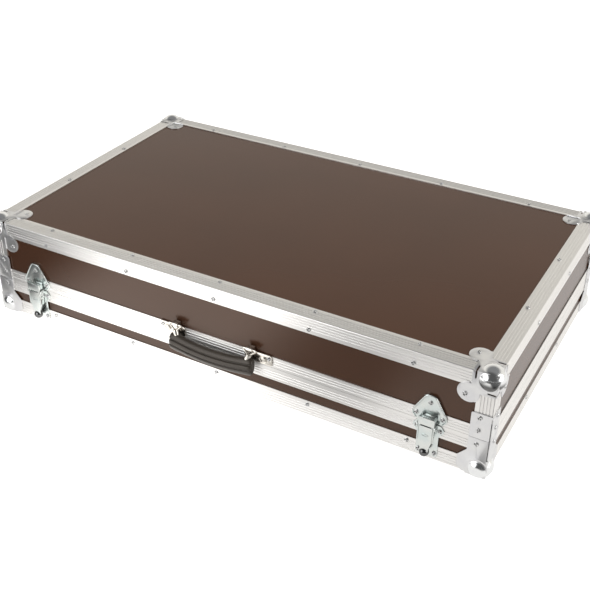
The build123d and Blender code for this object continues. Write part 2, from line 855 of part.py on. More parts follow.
def handle_ring():
    """Right-hand ring: a triangle of wire whose top bar turns in the bracket's barrel."""
    corners = [(ring_inner, 0), (ring_outer, 0), (ring_apex_in, ring_apex_drop)]
    wire = sloping_rod(ring_wire_radius, corners[0], corners[1])
    for start, end in ((corners[1], corners[2]), (corners[2], corners[0])):
        wire += sloping_rod(ring_wire_radius, start, end)
    for along, drop in corners:
        wire += Pos(along, 0, -drop) * Sphere(ring_wire_radius)
    return wire - sloping_rod(ferrule_radius + hole_room, (ring_apex_in, ferrule_top_drop), ferrule_foot)


ferrule_foot = (ferrule_foot_in, ferrule_foot_drop)


def handle_ferrule(radius):
    """Right-hand metal barrel that holds the ring's point and sits in the grip's end."""
    return sloping_rod(radius, (ring_apex_in, ferrule_top_drop), ferrule_foot)


def grip_outline():
    """Side view of the grip: a hollow upper edge, a bowed lower edge and blunt ends."""
    top_left = (-grip_shoulder_in, -grip_shoulder_drop)
    top_right = (grip_shoulder_in, -grip_shoulder_drop)
    low_right = (grip_end_in, -grip_end_drop)
    low_left = (-grip_end_in, -grip_end_drop)
    side_drop = (grip_notch_drop + grip_end_drop) / 2
    right_end = Polyline(
        top_right,
        (grip_half - grip_rounding, -grip_shoulder_drop),
        (grip_half, -grip_shoulder_drop - grip_rounding),
        (grip_half, -side_drop),
        low_right,
    )
    left_end = mirror(right_end, Plane.YZ)
    upper = ThreePointArc(top_left, (0, -grip_top_drop), top_right)
    lower = ThreePointArc(low_right, (0, -grip_bottom_drop), low_left)
    return make_face([*upper.edges(), *right_end.edges(), *lower.edges(), *left_end.edges()])


def handle_grip():
    """Moulded grip with a notch at each end for the ferrules."""
    grip = standing(grip_outline(), -grip_thick / 2, grip_thick / 2)
    grip = chamfer(grip.faces().filter_by(Axis.Y).edges(), grip_edge_rounding)
    notch = box_between(grip_notch_in, grip_notch_out, -grip_thick, grip_thick, -grip_notch_drop, 0)
    for turn in (0, 180):
        grip -= Rot(0, 0, turn) * notch
        grip -= Rot(0, 0, turn) * handle_ferrule(ferrule_radius + hole_room)
    return grip


def mirrored_pair(piece):
    """A right-hand piece and its mirror image on the left."""
    return [piece, mirror(piece, Plane.YZ)]


# Node names and their shapes

def base_nodes():
    nodes = {"base_bottom_panel": [base_piece(flat_panel(foot + edging_sheet))]}
    for side in sides:
        nodes[f"base_{side}_panel"] = [base_piece(wall_panel(side, floor_top, base_wall_top))]
    runs = {side: base_piece(edging_run(side, foot, True)) for side in sides}
    seams = {side: base_piece(base_closure(side)) for side in sides}
    for side in (front, back):
        nodes[f"base_{side}_edging"] = [runs[side]]
        nodes[f"base_{side}_closure"] = [seams[side]]
    nodes["base_end_edgings"] = [runs[left], runs[right]]
    nodes["base_end_closures"] = [seams[left], seams[right]]
    corner = base_ball_corner()
    for y_sign, y_name in ((-1, front), (1, back)):
        for x_sign, x_name in ((-1, left), (1, right)):
            placed = corner_place(x_sign, y_sign) * Pos(0, 0, foot) * corner
            nodes[f"base_ball_corner_{y_name}_{x_name}"] = [base_piece(placed)]
    nodes["base_rivets"] = [place * rivet(grip) for place, grip in base_spots]
    strip_top = z_seam - foam_lining_drop
    nodes["base_foam_lining"] = [foam_strip(side, floor_top + fit_gap, strip_top) for side in sides]
    nodes["base_foam_bed"] = [foam_slab(floor_top + fit_gap, floor_top + fit_gap + foam_bed)]
    return nodes


def lid_nodes():
    nodes = {"lid_top_panel": [lid_piece(flat_panel(roof_under))]}
    for side in sides:
        nodes[f"lid_{side}_panel"] = [lid_piece(wall_panel(side, lid_wall_bottom, roof_under))]
    runs = {side: lid_piece(edging_run(side, z_top, False)) for side in sides}
    seams = {side: lid_piece(lid_closure(side)) for side in sides}
    for side in (front, back):
        nodes[f"lid_{side}_edging"] = [runs[side]]
        nodes[f"lid_{side}_closure"] = [seams[side]]
    nodes["lid_end_edgings"] = [runs[left], runs[right]]
    nodes["lid_end_closures"] = [seams[left], seams[right]]
    corners = [(x_sign, y_sign) for x_sign in (-1, 1) for y_sign in (-1, 1)]
    nodes["lid_upright_edgings"] = [lid_piece(upright_edging(*signs)) for signs in corners]
    nodes["lid_corner_braces"] = [lid_piece(corner_place(*signs) * corner_brace()) for signs in corners]
    corner = mirror(lid_ball_corner(), Plane.XY)
    for y_sign, y_name in ((-1, front), (1, back)):
        for x_sign, x_name in ((-1, left), (1, right)):
            placed = corner_place(x_sign, y_sign) * Pos(0, 0, z_top) * corner
            nodes[f"lid_ball_corner_{y_name}_{x_name}"] = [lid_piece(placed)]
    nodes["lid_rivets"] = [place * rivet(grip) for place, grip in lid_spots]
    strip_low = z_seam + seam_gap + foam_lining_drop
    nodes["lid_foam_lining"] = [foam_strip(side, strip_low, roof_under - fit_gap) for side in sides]
    nodes["lid_foam_pad"] = [foam_slab(roof_under - fit_gap - foam_pad, roof_under - fit_gap)]
    return nodes


def hinge_nodes():
    nodes = {}
    for x_sign, name in ((1, left), (-1, right)):
        lid_leaf = hinge_place(x_sign) * hinge_leaf(1, 1, hinge_lid_leaf)
        base_leaf = hinge_place(x_sign) * hinge_leaf(0, -1, hinge_base_leaf)
        nodes[f"hinge_lid_leaf_{name}"] = [lid_piece(lid_leaf)]
        nodes[f"hinge_base_leaf_{name}"] = [base_piece(base_leaf)]
    nodes["hinge_pins"] = [hinge_place(x_sign) * hinge_pin() for x_sign in (-1, 1)]
    return nodes


def latch_nodes():
    nodes = {"latch_pivot_pins": []}
    for x_sign, name in ((-1, left), (1, right)):
        place = latch_place(x_sign)
        nodes[f"latch_base_plate_{name}"] = [base_piece(place * latch_base_plate())]
        nodes[f"latch_lever_{name}"] = [place * latch_lever()]
        nodes[f"latch_loop_{name}"] = [place * latch_loop()]
        nodes[f"latch_loop_pin_{name}"] = [place * latch_loop_pin()]
        nodes[f"latch_catch_{name}"] = [lid_piece(place * latch_catch())]
        nodes["latch_pivot_pins"] += [place * latch_pivot_pin(end) for end in (-1, 1)]
    return nodes


def handle_nodes():
    at_front = face_frame(front)
    hang = at_front * handle_hang
    brackets = [lid_piece(at_front * piece) for piece in mirrored_pair(handle_bracket())]
    return {
        "handle_brackets": brackets,
        "handle_bracket_screws": [place * screw(grip) for place, grip in screw_spots],
        "handle_rings": [hang * piece for piece in mirrored_pair(handle_ring())],
        "handle_ferrules": [hang * piece for piece in mirrored_pair(handle_ferrule(ferrule_radius))],
        "handle_grip": [hang * handle_grip()],
    }


def write_nodes():
    os.makedirs("parts", exist_ok=True)
    nodes = {**base_nodes(), **lid_nodes(), **hinge_nodes(), **latch_nodes(), **handle_nodes()}
    for name, shapes in nodes.items():
        solids = [solid for shape in shapes for solid in shape.solids()]
        export_step(Compound(children=solids), f"parts/{name}.step")


write_nodes()
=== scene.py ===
import contextlib
import math

import bmesh
import bpy
from mathutils import Matrix, Vector


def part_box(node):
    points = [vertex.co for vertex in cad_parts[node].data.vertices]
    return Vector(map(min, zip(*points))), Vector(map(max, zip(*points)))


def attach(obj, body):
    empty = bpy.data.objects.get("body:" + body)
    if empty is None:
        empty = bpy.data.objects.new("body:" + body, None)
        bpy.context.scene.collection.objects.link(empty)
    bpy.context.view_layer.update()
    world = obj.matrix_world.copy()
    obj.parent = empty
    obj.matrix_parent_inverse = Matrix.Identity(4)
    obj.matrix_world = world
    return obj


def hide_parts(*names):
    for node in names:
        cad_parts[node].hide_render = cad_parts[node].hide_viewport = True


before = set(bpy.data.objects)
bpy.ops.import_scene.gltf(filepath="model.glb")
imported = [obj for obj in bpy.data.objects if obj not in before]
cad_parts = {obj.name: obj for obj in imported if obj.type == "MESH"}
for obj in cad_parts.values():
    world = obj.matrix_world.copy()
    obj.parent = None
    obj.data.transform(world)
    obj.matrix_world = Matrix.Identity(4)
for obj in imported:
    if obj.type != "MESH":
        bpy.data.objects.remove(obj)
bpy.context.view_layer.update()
bpy.ops.object.select_all(action="DESELECT")


# Camera. It looks down on the case from the front right, from about two case lengths away.
# Its place, turn and lens follow the case's edges in the photograph.
camera_place = Vector((0.664, -1.210, 0.902))
camera_ahead = Vector((-0.4077, 0.7391, -0.5362))
camera_right = Vector((0.8735, 0.4868, 0.0069))
camera_lens = 59.64
ahead = camera_ahead.normalized()
across = (camera_right - camera_right.dot(ahead) * ahead).normalized()
above = across.cross(ahead)
camera = bpy.data.objects.new("camera", bpy.data.cameras.new("camera"))
bpy.context.collection.objects.link(camera)
camera_turn = Matrix((across, above, -ahead)).transposed().to_4x4()
camera.matrix_world = Matrix.Translation(camera_place) @ camera_turn
camera.data.lens = camera_lens
camera.data.sensor_width = 36.0
camera.data.sensor_fit = "HORIZONTAL"
camera.data.clip_start = 0.01
bpy.context.scene.camera = camera


# Studio. The case stands on a white sheet, with round soft lights in front, at the right and above.
# The room behind is bright and a little warm, and the room in front is dark, which the plating picks up.
class Value:
    """A socket of a material. Arithmetic on it adds the Math nodes that work it out."""

    def __init__(self, finish, socket):
        self.finish = finish
        self.socket = socket

    def maths(self, operation, *others):
        node = self.finish.tree.nodes.new("ShaderNodeMath")
        node.operation = operation
        for socket, value in zip(node.inputs, others):
            self.finish.feed(socket, value)
        return Value(self.finish, node.outputs[0])

    def __add__(self, other):
        return self.maths("ADD", self, other)

    def __sub__(self, other):
        return self.maths("SUBTRACT", self, other)

    def __rsub__(self, other):
        return self.maths("SUBTRACT", other, self)

    def __mul__(self, other):
        return self.maths("MULTIPLY", self, other)

    __radd__ = __add__
    __rmul__ = __mul__


class Finish:
    """A node tree being wired: node() adds any node, and put() sets or links a socket of its shader."""

    def __init__(self, tree, shader):
        self.tree = tree
        self.shader = shader

    def feed(self, socket, value):
        if isinstance(value, Value):
            self.tree.links.new(value.socket, socket)
        else:
            socket.default_value = value

    def node(self, kind, settings=(), sockets=(), output=0):
        node = self.tree.nodes.new("ShaderNode" + kind)
        for name, value in dict(settings).items():
            if name == "stops":
                ramp = node.color_ramp.elements
                while len(ramp) < len(value):
                    ramp.new(0.5)
                for element, (place, colour) in zip(ramp, value):
                    element.position = place
                    element.color = (*colour, 1.0)
            else:
                setattr(node, name, value)
        for name, value in dict(sockets).items():
            self.feed(node.inputs[name], value)
        return Value(self, node.outputs[output])

    def pick(self, value, output):
        """Another output of the node that a value comes from."""
        return Value(self, value.socket.node.outputs[output])

    def put(self, **sockets):
        for name, value in sockets.items():
            self.feed(self.shader.inputs[name.replace("_", " ")], value)
        return self


room = bpy.context.scene.world or bpy.data.worlds.new("room")
bpy.context.scene.world = room
room.use_nodes = True
air = Finish(room.node_tree, room.node_tree.nodes["Background"])
way = air.node("SeparateXYZ", (), {"Vector": air.node("TexCoord")})
way_back = air.pick(way, "Y")
way_up = air.pick(way, "Z")
paper_white = (1.0, 1.0, 1.0)
warm_white = (1.0, 0.97, 0.90)
ceiling_grey = (0.26, 0.26, 0.26)
front_grey = (0.10, 0.10, 0.10)
# Parts of a unit step outwards: how far up for the walls and the ceiling, and how far back for the front.
walls_end, ceiling_starts = 0.50, 0.78
front_starts, front_full = -0.10, -0.45
heights = [(walls_end, warm_white), (ceiling_starts, ceiling_grey)]
height_tint = air.node("ValToRGB", {"stops": heights}, {"Fac": way_up})
front_share = air.node(
    "MapRange", {"interpolation_type": "SMOOTHSTEP"},
    {"Value": way_back, "From Min": front_starts, "From Max": front_full},
)
seen = air.node("MixRGB", (), {"Fac": front_share, "Color1": height_tint, "Color2": (*front_grey, 1.0)})
to_camera = air.node("LightPath", (), (), "Is Camera Ray")
seen = air.node("MixRGB", (), {"Fac": to_camera, "Color1": seen, "Color2": (*paper_white, 1.0)})
air.put(Color=seen, Strength=1.0)

bpy.context.scene.view_settings.view_transform = "Standard"
bpy.context.scene.cycles.use_denoising = True


def new_finish(name, colour, roughness, metallic=0.0):
    """A material whose shader starts with these values."""
    material = bpy.data.materials.new(name)
    material.use_nodes = True
    finish = Finish(material.node_tree, material.node_tree.nodes["Principled BSDF"])
    finish.material = material
    return finish.put(Base_Color=(*colour, 1.0), Roughness=roughness, Metallic=metallic)


sheet_size = 40.0
sheet_colour, sheet_roughness, sheet_glow = (0.45, 0.45, 0.45), 0.9, 0.86
bpy.ops.mesh.primitive_plane_add(size=sheet_size)
studio_floor = bpy.context.object
studio_floor.name = "studio_floor"
white_paper = new_finish("white_paper", sheet_colour, sheet_roughness)
white_paper.put(Emission_Color=(*paper_white, 1.0), Emission_Strength=sheet_glow)
studio_floor.data.materials.append(white_paper.material)


def soft_light(name, place, aim, width, power, in_gloss=True):
    """A round soft lamp at place that points at aim."""
    lamp = bpy.data.objects.new(name, bpy.data.lights.new(name, "AREA"))
    bpy.context.collection.objects.link(lamp)
    lamp.data.shape = "DISK"
    lamp.data.size = width
    lamp.data.energy = power
    lamp.visible_glossy = in_gloss
    lamp.location = place
    lamp.rotation_euler = (Vector(aim) - Vector(place)).to_track_quat("-Z", "Y").to_euler()


case_middle = (0.0, 0.0, 0.1)
near_ball = (0.409, -0.235, 0.162)
soft_light("left_light", (-0.45, -1.20, 0.45), near_ball, width=1.10, power=9.0)
soft_light("right_light", (1.45, -0.245, 0.50), near_ball, width=0.95, power=8.0)
soft_light("top_light", (0.2, 0.1, 2.4), case_middle, width=2.4, power=60.0, in_gloss=False)


# Painted reflection: a glowing sheet hidden from the camera, with painted white and dark patches that the
# plating and the balls reflect.
pool_height, pool_size = 0.003, sheet_size / 4
reflection_card_black = (0.02, 0.02, 0.02)
pool_white, pool_black = (1.0, 0.985, 0.96, 1.0), (0.05, 0.05, 0.05, 1.0)
# Each pair is where a dark or bright stretch starts and where it is full, along X, or Y for the fronts.
band_starts, band_ends, band_depth = (-0.06, 0.10), (0.19, 0.27), 0.65
right_end, left_end = (0.43, 0.50), (-0.38, -0.48)
near_front, far_front = (-0.27, -0.33), (-0.58, -0.85)
bright_starts, bright_ends = (-0.42, -0.30), (-0.08, 0.16)


def pool_of_light():
    """A glowing sheet on the floor that is seen only in reflections, its patches painted reflection: white
    near the case, dark away from it.
    """
    bpy.ops.mesh.primitive_plane_add(size=pool_size, location=(0, 0, pool_height))
    pool = bpy.context.object
    pool.name = "pool_of_light"
    pool.visible_camera = pool.visible_diffuse = pool.visible_shadow = False
    reflection_card = new_finish("painted_reflection_card", reflection_card_black, roughness=0.9)
    place = reflection_card.node("SeparateXYZ", (), {"Vector": reflection_card.node("NewGeometry")})
    x, y = reflection_card.pick(place, "X"), reflection_card.pick(place, "Y")

    def edge(value, start, full):
        settings = {"interpolation_type": "SMOOTHSTEP"}
        return reflection_card.node("MapRange", settings, {"Value": value, "From Min": start, "From Max": full})

    def darkest(*values):
        shade, *rest = values
        for value in rest:
            shade = reflection_card.node("Math", {"operation": "MAXIMUM"}, {0: shade, 1: value})
        return shade

    # Painted reflection: a dark band right of the handle and a brighter glow left of it, painted on the
    # sheet for the metal to reflect.
    right_of_handle = edge(x, *band_starts) * (1.0 - edge(x, *band_ends)) * band_depth
    sides = darkest(edge(x, *right_end), edge(x, *left_end), right_of_handle)
    dark = darkest(sides * edge(y, *near_front), edge(y, *far_front))
    shade = reflection_card.node("MixRGB", (), {"Fac": dark, "Color1": pool_white, "Color2": pool_black})
    left_of_handle = edge(x, *bright_starts) * (1.0 - edge(x, *bright_ends))
    reflection_card.put(Emission_Color=shade, Emission_Strength=left_of_handle + 1.0)
    reflection_card.material.cycles.emission_sampling = "NONE"
    pool.data.materials.append(reflection_card.material)


pool_of_light()


# Panels. Each is plywood with a smooth dark brown film glued on, and the lid's end panels have a painted
# shadow:
# a dull black line above the seam, along the top of the lid's closure, where the closure shades the film.
# They fit into the aluminium sections, and the rivets go through both.
film_brown = (0.0385, 0.0140, 0.0056)
film_sheen, film_reflection = 0.26, (1.0, 0.84, 0.74, 1.0)
film_clouds, film_grain = 6.0, 900.0
cloud_depth = 0.07
shadow_line_low, shadow_line_high = 0.0884, 0.0900
painted_shadow_black = (0.002, 0.002, 0.002, 1.0)


def brown_film(name, gloss, painted_shadow_line=False):
    """The film, with faint clouds, a fine grain and, on the ends, a painted shadow: a dull black line above
    the closure.
    """
    film = new_finish(name, film_brown, film_sheen)
    film.put(Specular_IOR_Level=gloss, Specular_Tint=film_reflection)
    coords = film.node("TexCoord", output=3)
    cloud = film.node("TexNoise", (), {"Vector": coords, "Scale": film_clouds, "Detail": 2.0})
    grain = film.node("TexNoise", (), {"Vector": coords, "Scale": film_grain, "Detail": 2.0})
    darker = tuple((1 - cloud_depth) * part for part in film_brown)
    lighter = tuple((1 + cloud_depth) * part for part in film_brown)
    tint = film.node("ValToRGB", {"stops": [(0.3, darker), (0.7, lighter)]}, {"Fac": cloud})
    roughness = grain * 0.08 + 0.20
    # Painted shadow: a thin dull black band just above the lid's closure, where the closure's edge shades
    # the panel.
    if painted_shadow_line:
        height = film.pick(film.node("SeparateXYZ", (), {"Vector": coords}), "Z")
        above_low = film.node("Math", {"operation": "GREATER_THAN"}, {0: height, 1: shadow_line_low})
        below_high = film.node("Math", {"operation": "LESS_THAN"}, {0: height, 1: shadow_line_high})
        in_shadow_line = above_low * below_high
        tint = film.node("MixRGB", (), {"Fac": in_shadow_line, "Color1": tint, "Color2": painted_shadow_black})
        roughness = roughness + in_shadow_line * 0.6
    bump = film.node("Bump", (), {"Height": grain, "Strength": 0.03, "Distance": 0.0001})
    return film.put(Base_Color=tint, Roughness=roughness, Normal=bump)


def cover(finish, *names):
    """Gives a finish to CAD nodes that stay as they are."""
    for name in names:
        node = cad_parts[name]
        node.data.materials.clear()
        node.data.materials.append(finish.material)


film = brown_film("brown_film", gloss=0.27)
wall_film = brown_film("brown_film_walls", gloss=0.50)
end_film = brown_film("brown_film_ends", gloss=0.30, painted_shadow_line=True)
cover(film, "base_bottom_panel", "lid_top_panel", "base_left_panel", "base_right_panel")
cover(wall_film, *[f"{half}_{wall}_panel" for half in ("base", "lid") for wall in ("front", "back")])
cover(end_film, "lid_left_panel", "lid_right_panel")


# Edging and closure sections. They are drawn aluminium, anodised to a satin white, with ribs along them.
# Fine lines from the die run the same way as each section.
anodised_white = (0.80, 0.79, 0.775)
anodised_dull = (0.745, 0.73, 0.715)
lines_along, lines_across = 5.0, 420.0


def drawn_aluminium(name, direction):
    """Anodised aluminium drawn along one axis: 0 for X, 1 for Y, 2 for Z."""
    metal = new_finish(name, anodised_white, roughness=0.4, metallic=1.0)
    coords = metal.node("TexCoord", output=3)
    scale = [lines_along if axis == direction else lines_across for axis in range(3)]
    stretched = metal.node("Mapping", (), {"Vector": coords, "Scale": scale})
    lines = metal.node("TexNoise", (), {"Vector": stretched, "Scale": 1.0, "Detail": 2.0})
    stops = [(0.32, anodised_dull), (0.62, anodised_white)]
    tint = metal.node("ValToRGB", {"stops": stops}, {"Fac": lines})
    bump = metal.node("Bump", (), {"Height": lines, "Strength": 0.05, "Distance": 0.0001})
    return metal.put(Base_Color=tint, Roughness=lines * 0.12 + 0.32, Normal=bump)


along_x, along_y, along_z = (drawn_aluminium(f"drawn_aluminium_{n}", i) for i, n in enumerate("xyz"))
for half in ("base", "lid"):
    for wall in ("front", "back"):
        cover(along_x, f"{half}_{wall}_edging", f"{half}_{wall}_closure")
    cover(along_y, f"{half}_end_edgings", f"{half}_end_closures")
cover(along_z, "lid_upright_edgings")


# Ball corners. Each is a pressed steel corner, satin plated, with a hollow ball that is polished bright.
# Petals reach on to the panels, and slots along the edges let the sheet bend. Rivets hold it.
half_length, half_depth = 0.420, 0.246
floor_to_case, seam_height, top_height = 0.0074, 0.0694, 0.1734
ball_radius, ball_inset, ball_cuts = 0.01845, 0.011, 23
flare_radius, flare_steps = 0.005, 6
flare_root, flare_sink, sheet_sink = 0.001, 0.0016, 0.0002
corner_sheet, sheet_edge = 0.0012, 0.0003
satin_steel, satin_cast = (0.69, 0.69, 0.69), (0.65, 0.65, 0.665)
chrome, chrome_cast = (0.80, 0.81, 0.815), (0.77, 0.78, 0.79)
ball_underside_painted_shade = (0.13, 0.13, 0.13, 1.0)
shade_starts, shade_full = 0.003, -0.004
doubles_within, flat_within = 0.000002, math.radians(0.5)
sharp_edge, smooth_within = math.radians(48), math.radians(30)


def pick_up(*pieces):
    """Selects only these pieces, the first as the active one."""
    bpy.ops.object.select_all(action="DESELECT")
    for piece in pieces:
        piece.select_set(True)
    bpy.context.view_layer.objects.active = pieces[0]


@contextlib.contextmanager
def on_bench(piece):
    """Edit mode on one piece."""
    pick_up(piece)
    bpy.ops.object.mode_set(mode="EDIT")
    yield
    bpy.ops.object.mode_set(mode="OBJECT")


def mark(piece, kind, chosen):
    """Selects the faces, edges or verts that chosen is true for."""
    mode = {"faces": "FACE", "edges": "EDGE", "verts": "VERT"}[kind]
    bpy.ops.mesh.select_mode(type=mode)
    bpy.ops.mesh.select_all(action="DESELECT")
    shape = bmesh.from_edit_mesh(piece.data)
    for part in getattr(shape, kind):
        part.select_set(bool(chosen(part)))
    shape.select_flush_mode()
    bmesh.update_edit_mesh(piece.data)


def finish_with(piece, kind, **settings):
    """Adds a modifier and applies it."""
    work = piece.modifiers.new("work", kind)
    for key, value in settings.items():
        setattr(work, key, value)
    pick_up(piece)
    bpy.ops.object.modifier_apply(modifier=work.name)


def copy_to(piece, matrix):
    """A copy with its own mesh, moved and turned by a matrix."""
    twin = bpy.data.objects.new(piece.name, piece.data.copy())
    bpy.context.collection.objects.link(twin)
    twin.data.transform(matrix)
    if matrix.to_3x3().determinant() < 0:
        with on_bench(twin):
            bpy.ops.mesh.select_all(action="SELECT")
            bpy.ops.mesh.flip_normals()
    return twin


def joined(name, pieces):
    """One piece made of several."""
    pick_up(*pieces)
    if len(pieces) > 1:
        bpy.ops.object.join()
    whole = bpy.context.object
    whole.name = name
    return whole


def eased(node, name, width, finish, steps=2):
    """A copy of a pressed or turned CAD piece with its doubles merged and its sharp edges rounded."""
    piece = bpy.data.objects.new(name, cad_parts[node].data.copy())
    bpy.context.collection.objects.link(piece)
    piece.data.materials.clear()
    piece.data.materials.append(finish.material)
    with on_bench(piece):
        bpy.ops.mesh.select_all(action="SELECT")
        bpy.ops.mesh.remove_doubles(threshold=doubles_within)
        bpy.ops.mesh.dissolve_limited(angle_limit=flat_within)
    finish_with(piece, "BEVEL", width=width, segments=steps, limit_method="ANGLE", angle_limit=sharp_edge)
    bpy.ops.object.shade_smooth_by_angle(angle=smooth_within)
    return piece


def fit(piece, slot, body, *nodes):
    """Hangs a finished piece on its body in place of CAD nodes."""
    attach(piece, body)
    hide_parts(*nodes)


def plated(name, colour, roughness, cast):
    """Plated steel with faint clouds of another cast."""
    metal = new_finish(name, colour, roughness, metallic=1.0)
    coords = metal.node("TexCoord", output=3)
    cloud = metal.node("TexNoise", (), {"Vector": coords, "Scale": 60.0, "Detail": 3.0})
    fine = metal.node("TexNoise", (), {"Vector": coords, "Scale": 1500.0, "Detail": 1.0})
    tint = metal.node("ValToRGB", {"stops": [(0.35, colour), (0.65, cast)]}, {"Fac": cloud})
    bump = metal.node("Bump", (), {"Height": fine, "Strength": 0.04, "Distance": 0.00005})
    return metal.put(Base_Color=tint, Roughness=cloud * 0.10 + (roughness - 0.05), Normal=bump)


satin_plate = plated("satin_plate", satin_steel, roughness=0.34, cast=satin_cast)
bright_ball = plated("bright_ball", chrome, roughness=0.17, cast=chrome_cast)
# Painted shade: on the lid balls the lower half blends to a dark base colour, painted for the dark
# reflection beneath them.
ball_tint = Value(bright_ball, bright_ball.shader.inputs["Base Color"].links[0].from_socket)
ball_coords = bright_ball.node("TexCoord", output=3)
height_on_ball = bright_ball.pick(bright_ball.node("SeparateXYZ", (), {"Vector": ball_coords}), "Z")
on_lid = bright_ball.node("Math", {"operation": "GREATER_THAN"}, {0: height_on_ball, 1: seam_height})
lid_ball_height = top_height - ball_inset
above_middle = height_on_ball - lid_ball_height
underside = bright_ball.node(
    "MapRange", {"interpolation_type": "SMOOTHSTEP"},
    {"Value": above_middle, "From Min": shade_starts, "From Max": shade_full},
)
underside_shade_mix = {"Fac": underside * on_lid, "Color1": ball_tint, "Color2": ball_underside_painted_shade}
bright_ball.put(Base_Color=bright_ball.node("MixRGB", (), underside_shade_mix))


def flare_profile():
    """Rings of the hollow fillet between ball and sheet, as (radius, height above the case's face)."""
    reach = math.sqrt((ball_radius + flare_radius) ** 2 - (ball_inset + corner_sheet + flare_radius) ** 2)
    middle_height = corner_sheet + flare_radius
    lean = math.atan2(middle_height + ball_inset, reach)
    rings = []
    for step in range(flare_steps + 1):
        turn = -math.pi / 2 - (math.pi / 2 - lean) * step / flare_steps
        rings.append((reach + flare_radius * math.cos(turn), middle_height + flare_radius * math.sin(turn)))
    outer_radius = rings[0][0]
    inner_radius, inner_height = rings[-1]
    in_ball = (inner_radius - flare_root, inner_height - flare_sink)
    return rings + [in_ball, (inner_radius, sheet_sink), (outer_radius, sheet_sink)]


def flare_ring():
    """The fillet on the face towards +Z, with the ball's centre at the origin, cut on the mitre planes."""
    rings = [(radius, height + ball_inset) for radius, height in flare_profile()]
    bpy.ops.mesh.primitive_circle_add(vertices=96, radius=rings[0][0], location=(0, 0, rings[0][1]))
    ring = bpy.context.object
    bpy.ops.object.transform_apply()
    with on_bench(ring):
        bpy.ops.mesh.select_all(action="SELECT")
        for (radius, height), (next_radius, next_height) in zip(rings, rings[1:]):
            bpy.ops.mesh.extrude_edges_move(TRANSFORM_OT_translate={"value": (0, 0, next_height - height)})
            grow = next_radius / radius
            bpy.ops.transform.resize(value=(grow, grow, 1), center_override=(0, 0, next_height))
        mark(ring, "edges", lambda e: e.is_boundary)
        bpy.ops.mesh.bridge_edge_loops()
        mark(ring, "faces", lambda f: min(f.calc_center_median().xy) > 0)
        bpy.ops.mesh.delete(type="FACE")
        bpy.ops.mesh.select_all(action="SELECT")
        bpy.ops.mesh.fill_holes(sides=0)
        bpy.ops.mesh.normals_make_consistent(inside=False)
        for mitre in ((1, 0, -1), (0, 1, -1)):
            bpy.ops.mesh.select_all(action="SELECT")
            bpy.ops.mesh.bisect(plane_co=(0, 0, 0), plane_no=mitre, use_fill=True, clear_outer=True)
    return ring


flare = flare_ring()
diagonal = Vector((1, 1, 1))
flares = [copy_to(flare, Matrix.Rotation(math.radians(120 * n), 4, diagonal)) for n in range(3)]
bpy.data.objects.remove(flare)
bpy.ops.mesh.primitive_cube_add(size=2 * ball_radius)
ball = bpy.context.object
with on_bench(ball):
    bpy.ops.mesh.select_all(action="SELECT")
    bpy.ops.mesh.subdivide(number_cuts=ball_cuts)
    bpy.ops.transform.tosphere(value=1.0)
widest = max(vert.co.length for vert in ball.data.vertices)
ball.data.transform(Matrix.Scale(ball_radius / widest, 4))
ball.data.materials.append(bright_ball.material)
for piece in flares:
    piece.data.materials.append(satin_plate.material)
ball_and_flares = joined("ball_and_flares", [ball, *flares])
bpy.ops.object.shade_smooth_by_angle(angle=math.radians(40))

# The ball with its flares is alike along X and Y, so a mirrored copy is put right by swapping the two.
swap_x_and_y = Matrix(((0, 1, 0, 0), (1, 0, 0, 0), (0, 0, 1, 0), (0, 0, 0, 1)))
for half, up, ball_height in (("base", -1, floor_to_case + ball_inset), ("lid", 1, lid_ball_height)):
    for wall, back in (("front", -1), ("back", 1)):
        for end, along in (("left", -1), ("right", 1)):
            signs = Matrix.Diagonal((along, back, up, 1))
            if signs.determinant() < 0:
                signs = signs @ swap_x_and_y
            x, y = along * (half_length - ball_inset), back * (half_depth - ball_inset)
            round_part = copy_to(ball_and_flares, Matrix.Translation((x, y, ball_height)) @ signs)
            name = f"{half}_ball_corner_{wall}_{end}"
            sheets = eased(name, "sheets", sheet_edge, satin_plate)
            corner = joined(f"pressed_{name}", [sheets, round_part])
            fit(corner, "corner", half, name)
bpy.data.objects.remove(ball_and_flares)

braces = eased("lid_corner_braces", "corner_angle_plates", sheet_edge, satin_plate)
fit(braces, "corner", "lid", "lid_corner_braces")


# Rivets. They are low round heads with three small dents from the setting tool, the dents painted near
# black as painted shade.
# They hold the sections, corners, hinges, latches and handle brackets to the plywood.
rivet_radius, rivet_depth, rivet_middle = 0.0033, 0.0015, 0.00035
rivet_edge, dent_inset, dent_depth, head_area = 0.0005, 0.0003, 0.0008, 1e-6
rivet_white, rivet_cast = (0.68, 0.68, 0.675), (0.63, 0.63, 0.64)
dent_shade_black, dent_shade_cast = (0.05, 0.05, 0.05), (0.03, 0.03, 0.03)
outward = {
    "front": Vector((0, -1, 0)), "back": Vector((0, 1, 0)), "left": Vector((-1, 0, 0)),
    "right": Vector((1, 0, 0)), "top": Vector((0, 0, 1)), "bottom": Vector((0, 0, -1)),
}
rivet_metal = plated("rivet_metal", rivet_white, roughness=0.4, cast=rivet_cast)
rivet_dent_shade = plated("rivet_dent_shade", dent_shade_black, roughness=0.6, cast=dent_shade_cast)


def turned_disc(radius, depth, middle, sides):
    """A short cylinder along Z with its middle at this height."""
    bpy.ops.mesh.primitive_cylinder_add(vertices=sides, radius=radius, depth=depth, location=(0, 0, middle))
    bpy.ops.object.transform_apply()
    return bpy.context.object


def on_top(face):
    return face.normal.z > 0.9


def every_other_sixth(face):
    """True for three of the six slices of a head."""
    middle = face.calc_center_median()
    return math.degrees(math.atan2(middle.y, middle.x)) % 120 < 60


